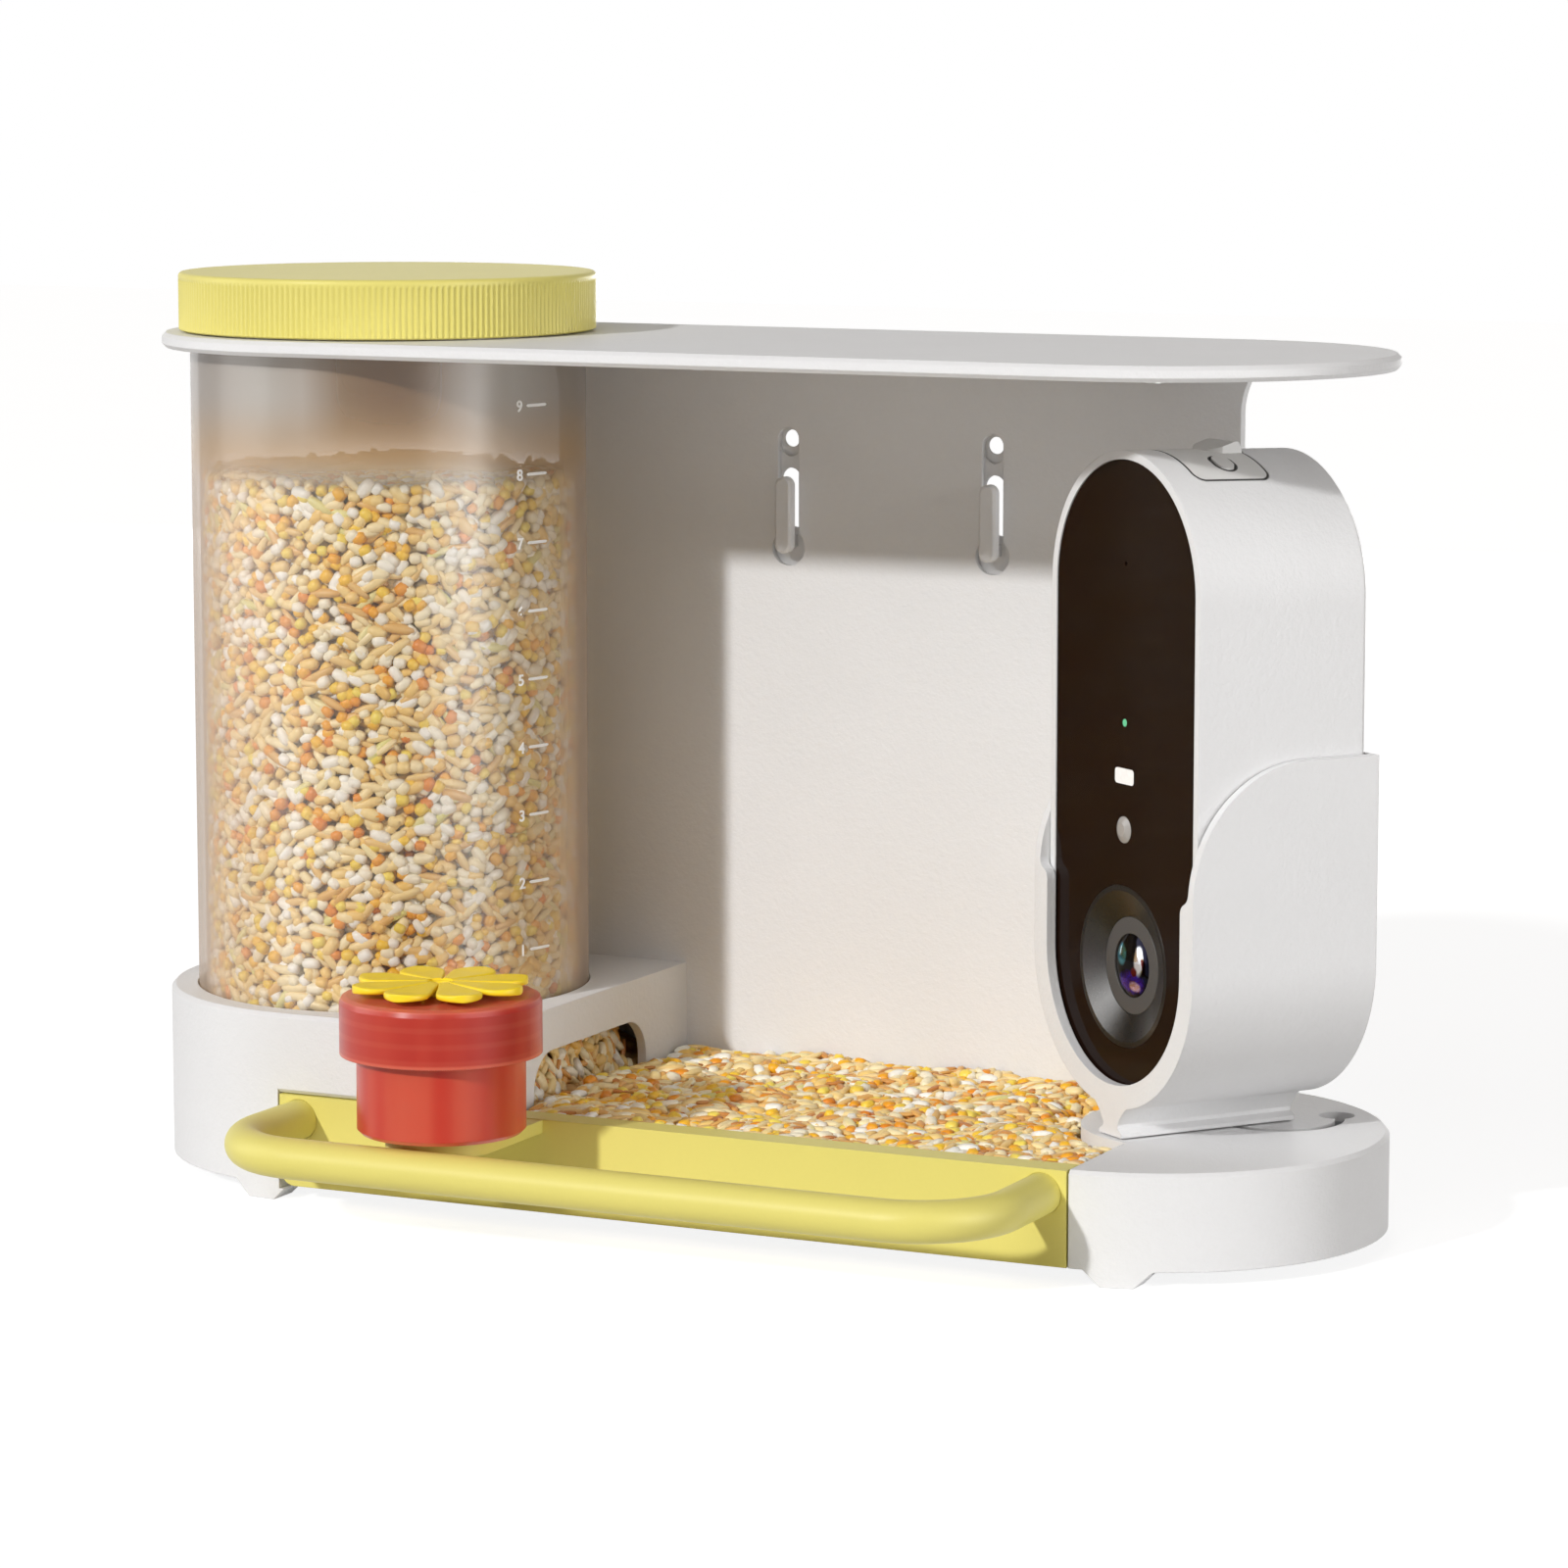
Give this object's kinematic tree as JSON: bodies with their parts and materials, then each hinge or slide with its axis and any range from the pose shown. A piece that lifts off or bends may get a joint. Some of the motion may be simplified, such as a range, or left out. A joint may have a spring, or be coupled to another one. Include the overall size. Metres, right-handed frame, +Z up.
{
  "type": "camera bird feeder",
  "caption": "Obround bird feeder with a clear seed tube, pull-out seed tray with perch, red nectar cup, roof, keyhole back plate and a swivelling camera in a cradle.",
  "frame": {"origin": "middle of the footprint, perch and cup included, on the plane under the feet", "axes": "+X along the base from the seed tube to the camera, +Y to the back plate, +Z up"},
  "size_m": [0.324, 0.1638, 0.2288],
  "materials": {
    "white_plastic": "fine moulded texture",
    "yellow_plastic": "satin pastel yellow",
    "flower_plastic": "satin deep yellow",
    "clear_plastic": "clear, slightly frosted",
    "red_plastic": "translucent red",
    "seed": "mixed dry seed",
    "steel": "plated",
    "soft_rubber": "matt",
    "white_rubber": "matt",
    "button_plastic": "satin",
    "dark_gloss": "polished dark brown",
    "black_plastic": "matt black",
    "lens_glass": "coated lens",
    "light_plastic": "clear diffuser",
    "board": "solder mask",
    "cell_wrap": "shrink wrap over steel"
  },
  "bodies": {
    "frame": {"base": "white_plastic", "chute": "white_plastic", "throat_seed": "seed", "back_plate": "white_plastic", "plate_screws": "steel", "roof": "white_plastic", "roof_screws": "steel"},
    "seed_tube": {"hopper": "clear_plastic", "hopper_seed": "seed"},
    "cap_ring": {"cap_seal": "soft_rubber"},
    "screw_cap": {"cap": "yellow_plastic"},
    "drawer": {"tray": "yellow_plastic", "perch": "yellow_plastic", "tray_seed": "seed"},
    "nectar_cup": {"cup": "red_plastic"},
    "lid_ring": {"cup_seal": "soft_rubber"},
    "screw_lid": {"cup_lid": "red_plastic", "flower": "flower_plastic"},
    "camera_mount": {"cradle": "white_plastic", "pivot_washer": "steel", "pivot_screw": "steel", "camera_housing": "white_plastic", "front_panel": "dark_gloss", "panel_gasket": "soft_rubber", "light_window": "light_plastic", "status_light": "light_plastic", "motion_sensor": "dark_gloss", "microphone": "black_plastic", "lens_bezel": "dark_gloss", "lens_ring": "black_plastic", "lens_glass": "lens_glass", "lens_barrel": "black_plastic", "sensor_board": "board", "main_board": "board", "battery_cells": "cell_wrap", "speaker": "black_plastic", "usb_socket": "steel"},
    "port_cover": {"top_cover": "white_rubber"},
    "power_key": {"power_button": "button_plastic"},
    "reset_key": {"reset_button": "button_plastic"},
    "left_lock": {"lock_left": "white_plastic"},
    "right_lock": {"lock_right": "white_plastic"}
  },
  "joints": [
    {"name": "tube_lift", "type": "slide", "parent": "frame", "child": "seed_tube", "axis": [0, 0, 1], "range_m": [0, 0.16]},
    {"name": "cap_lift", "type": "slide", "parent": "seed_tube", "child": "cap_ring", "axis": [0, 0, 1], "range_m": [0, 0.0065]},
    {"name": "cap_turn", "type": "hinge", "parent": "cap_ring", "child": "screw_cap", "pos_m": [-0.105, 0.0249, 0.22], "axis": [0, 0, 1], "range_deg": [0, 450]},
    {"name": "tray_slide", "type": "slide", "parent": "frame", "child": "drawer", "axis": [0, -1, 0], "range_m": [0, 0.09]},
    {"name": "cup_lift", "type": "slide", "parent": "drawer", "child": "nectar_cup", "axis": [0, 0, 1], "range_m": [0, 0.04]},
    {"name": "lid_lift", "type": "slide", "parent": "nectar_cup", "child": "lid_ring", "axis": [0, 0, 1], "range_m": [0, 0.0065]},
    {"name": "lid_turn", "type": "hinge", "parent": "lid_ring", "child": "screw_lid", "pos_m": [-0.045, -0.0576, 0.055], "axis": [0, 0, 1], "range_deg": [0, 540]},
    {"name": "camera_swivel", "type": "hinge", "parent": "frame", "child": "camera_mount", "pos_m": [0.1292, 0.046, 0.0273], "axis": [0, 0, 1], "range_deg": [-34, 60]},
    {"name": "cover_pull", "type": "slide", "parent": "camera_mount", "child": "port_cover", "axis": [0, 0, 1], "range_m": [0, 0.008]},
    {"name": "power_press", "type": "slide", "parent": "camera_mount", "child": "power_key", "axis": [0, 0, -1], "range_m": [0, 0.0008], "stiffness_N_per_m": 600},
    {"name": "reset_press", "type": "slide", "parent": "camera_mount", "child": "reset_key", "axis": [0, 0, -1], "range_m": [0, 0.0008], "stiffness_N_per_m": 600},
    {"name": "left_lock_slide", "type": "slide", "parent": "frame", "child": "left_lock", "axis": [0, 0, 1], "range_m": [0, 0.008]},
    {"name": "right_lock_slide", "type": "slide", "parent": "frame", "child": "right_lock", "axis": [0, 0, 1], "range_m": [0, 0.008]}
  ],
  "couplings": [
    {"joint": "cap_lift", "follows": "cap_turn", "m_per_rad": 0.0007958},
    {"joint": "lid_lift", "follows": "lid_turn", "m_per_rad": 0.00063}
  ]
}
